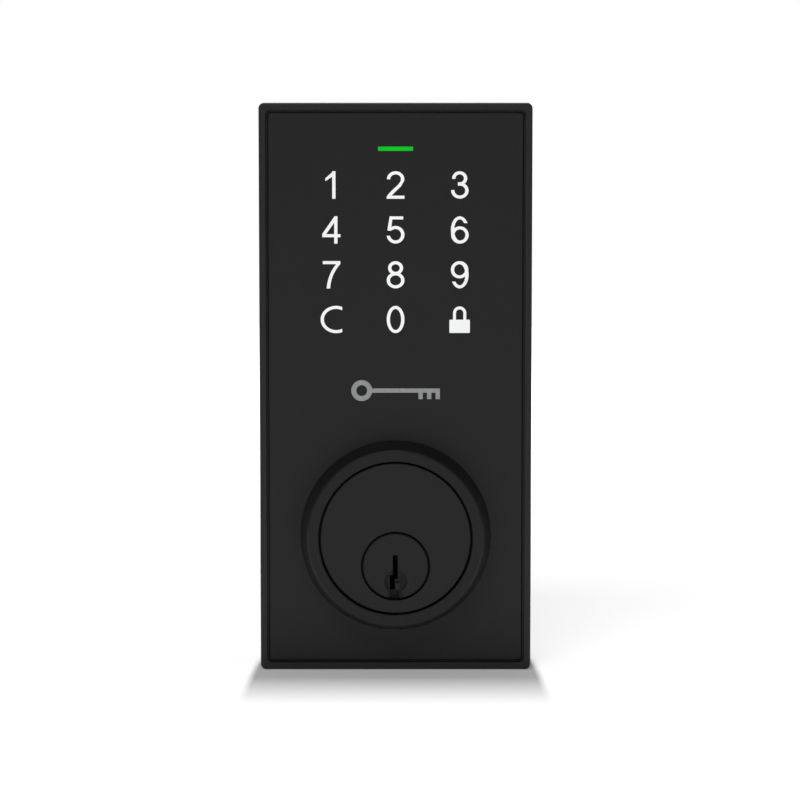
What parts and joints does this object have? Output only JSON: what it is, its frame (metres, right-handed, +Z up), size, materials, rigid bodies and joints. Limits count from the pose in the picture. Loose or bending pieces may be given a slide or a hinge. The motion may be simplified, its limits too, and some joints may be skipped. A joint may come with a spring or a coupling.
{
  "type": "keypad deadbolt outside unit",
  "caption": "Black rectangular outside unit of a keypad deadbolt, with touch figures, a status light, a raised collar and a key cylinder that turns a tailpiece.",
  "frame": {"origin": "centre of the door's crossbore, on the door face that the gasket lies on", "axes": "+X right seen from outside, +Y into the door, along the tailpiece, +Z up"},
  "size_m": [0.07, 0.089, 0.146],
  "materials": {
    "shell_black": "satin",
    "panel_black": "satin",
    "foam_tape": "matte",
    "legend_white": "satin",
    "emblem_grey": "satin",
    "light_green": "gloss",
    "film_amber": "gloss",
    "baffle_white": "matte",
    "diffuser_opal": "matte",
    "board_green": "satin",
    "led_cream": "gloss",
    "chip_black": "matte",
    "shield_steel": "satin",
    "header_cream": "matte",
    "screw_steel": "satin",
    "plated_steel": "satin",
    "gasket_foam": "matte",
    "grommet_rubber": "matte",
    "collar_black": "satin",
    "cylinder_black": "satin",
    "brass": "satin",
    "hard_steel": "satin",
    "plug_black": "satin",
    "spring_bronze": "satin"
  },
  "bodies": {
    "lock_body": {"housing": "shell_black", "front_panel": "panel_black", "panel_tape": "foam_tape", "key_legends": "legend_white", "front_emblem": "emblem_grey", "status_light_pipe": "light_green", "touch_film": "film_amber", "light_baffle": "baffle_white", "legend_diffusers": "diffuser_opal", "keypad_board": "board_green", "backlight_leds": "led_cream", "status_led": "led_cream", "touch_controller": "chip_black", "radio_module": "shield_steel", "harness_header": "header_cream", "sounder": "chip_black", "board_parts": "chip_black", "board_screws": "screw_steel", "back_plate": "plated_steel", "back_plate_screws": "screw_steel", "door_gasket": "gasket_foam", "cable_grommet": "grommet_rubber", "mounting_posts": "plated_steel", "collar": "collar_black", "collar_seal": "grommet_rubber", "cylinder_body": "cylinder_black", "cylinder_screws": "screw_steel", "cylinder_cover": "brass", "drill_guard_pins": "hard_steel", "pin_spring_1": "spring_bronze", "pin_spring_2": "spring_bronze", "pin_spring_3": "spring_bronze", "pin_spring_4": "spring_bronze", "pin_spring_5": "spring_bronze"},
    "plug": {"plug": "plug_black", "plug_cap": "brass"},
    "tailpiece": {"tailpiece": "plated_steel"},
    "key_pin_1": {"key_pin_1": "brass"},
    "driver_pin_1": {"driver_pin_1": "hard_steel"},
    "key_pin_2": {"key_pin_2": "brass"},
    "driver_pin_2": {"driver_pin_2": "hard_steel"},
    "key_pin_3": {"key_pin_3": "brass"},
    "driver_pin_3": {"driver_pin_3": "hard_steel"},
    "key_pin_4": {"key_pin_4": "brass"},
    "driver_pin_4": {"driver_pin_4": "hard_steel"},
    "key_pin_5": {"key_pin_5": "brass"},
    "driver_pin_5": {"driver_pin_5": "hard_steel"}
  },
  "joints": [
    {"name": "plug_turn", "type": "hinge", "parent": "lock_body", "child": "plug", "pos_m": [0, 0, -0.0071], "axis": [0, 1, 0], "range_deg": [-180, 180]},
    {"name": "tailpiece_turn", "type": "hinge", "parent": "plug", "child": "tailpiece", "pos_m": [0, 0, -0.0071], "axis": [0, 1, 0], "range_deg": [-90, 90]},
    {"name": "key_pin_1_lift", "type": "slide", "parent": "plug", "child": "key_pin_1", "axis": [0, 0, 1], "range_m": [0, 0.00215]},
    {"name": "key_pin_2_lift", "type": "slide", "parent": "plug", "child": "key_pin_2", "axis": [0, 0, 1], "range_m": [0, 0.00105]},
    {"name": "key_pin_3_lift", "type": "slide", "parent": "plug", "child": "key_pin_3", "axis": [0, 0, 1], "range_m": [0, 0.00155]},
    {"name": "key_pin_4_lift", "type": "slide", "parent": "plug", "child": "key_pin_4", "axis": [0, 0, 1], "range_m": [0, 0.00055]},
    {"name": "key_pin_5_lift", "type": "slide", "parent": "plug", "child": "key_pin_5", "axis": [0, 0, 1], "range_m": [0, 0.00185]},
    {"name": "driver_pin_1_lift", "type": "slide", "parent": "lock_body", "child": "driver_pin_1", "axis": [0, 0, 1], "range_m": [0, 0.0015], "stiffness_N_per_m": 60, "springref_m": -0.003, "deforming": ["pin_spring_1"]},
    {"name": "driver_pin_2_lift", "type": "slide", "parent": "lock_body", "child": "driver_pin_2", "axis": [0, 0, 1], "range_m": [0, 0.0015], "stiffness_N_per_m": 60, "springref_m": -0.003, "deforming": ["pin_spring_2"]},
    {"name": "driver_pin_3_lift", "type": "slide", "parent": "lock_body", "child": "driver_pin_3", "axis": [0, 0, 1], "range_m": [0, 0.0015], "stiffness_N_per_m": 60, "springref_m": -0.003, "deforming": ["pin_spring_3"]},
    {"name": "driver_pin_4_lift", "type": "slide", "parent": "lock_body", "child": "driver_pin_4", "axis": [0, 0, 1], "range_m": [0, 0.0015], "stiffness_N_per_m": 60, "springref_m": -0.003, "deforming": ["pin_spring_4"]},
    {"name": "driver_pin_5_lift", "type": "slide", "parent": "lock_body", "child": "driver_pin_5", "axis": [0, 0, 1], "range_m": [0, 0.0015], "stiffness_N_per_m": 60, "springref_m": -0.003, "deforming": ["pin_spring_5"]}
  ]
}
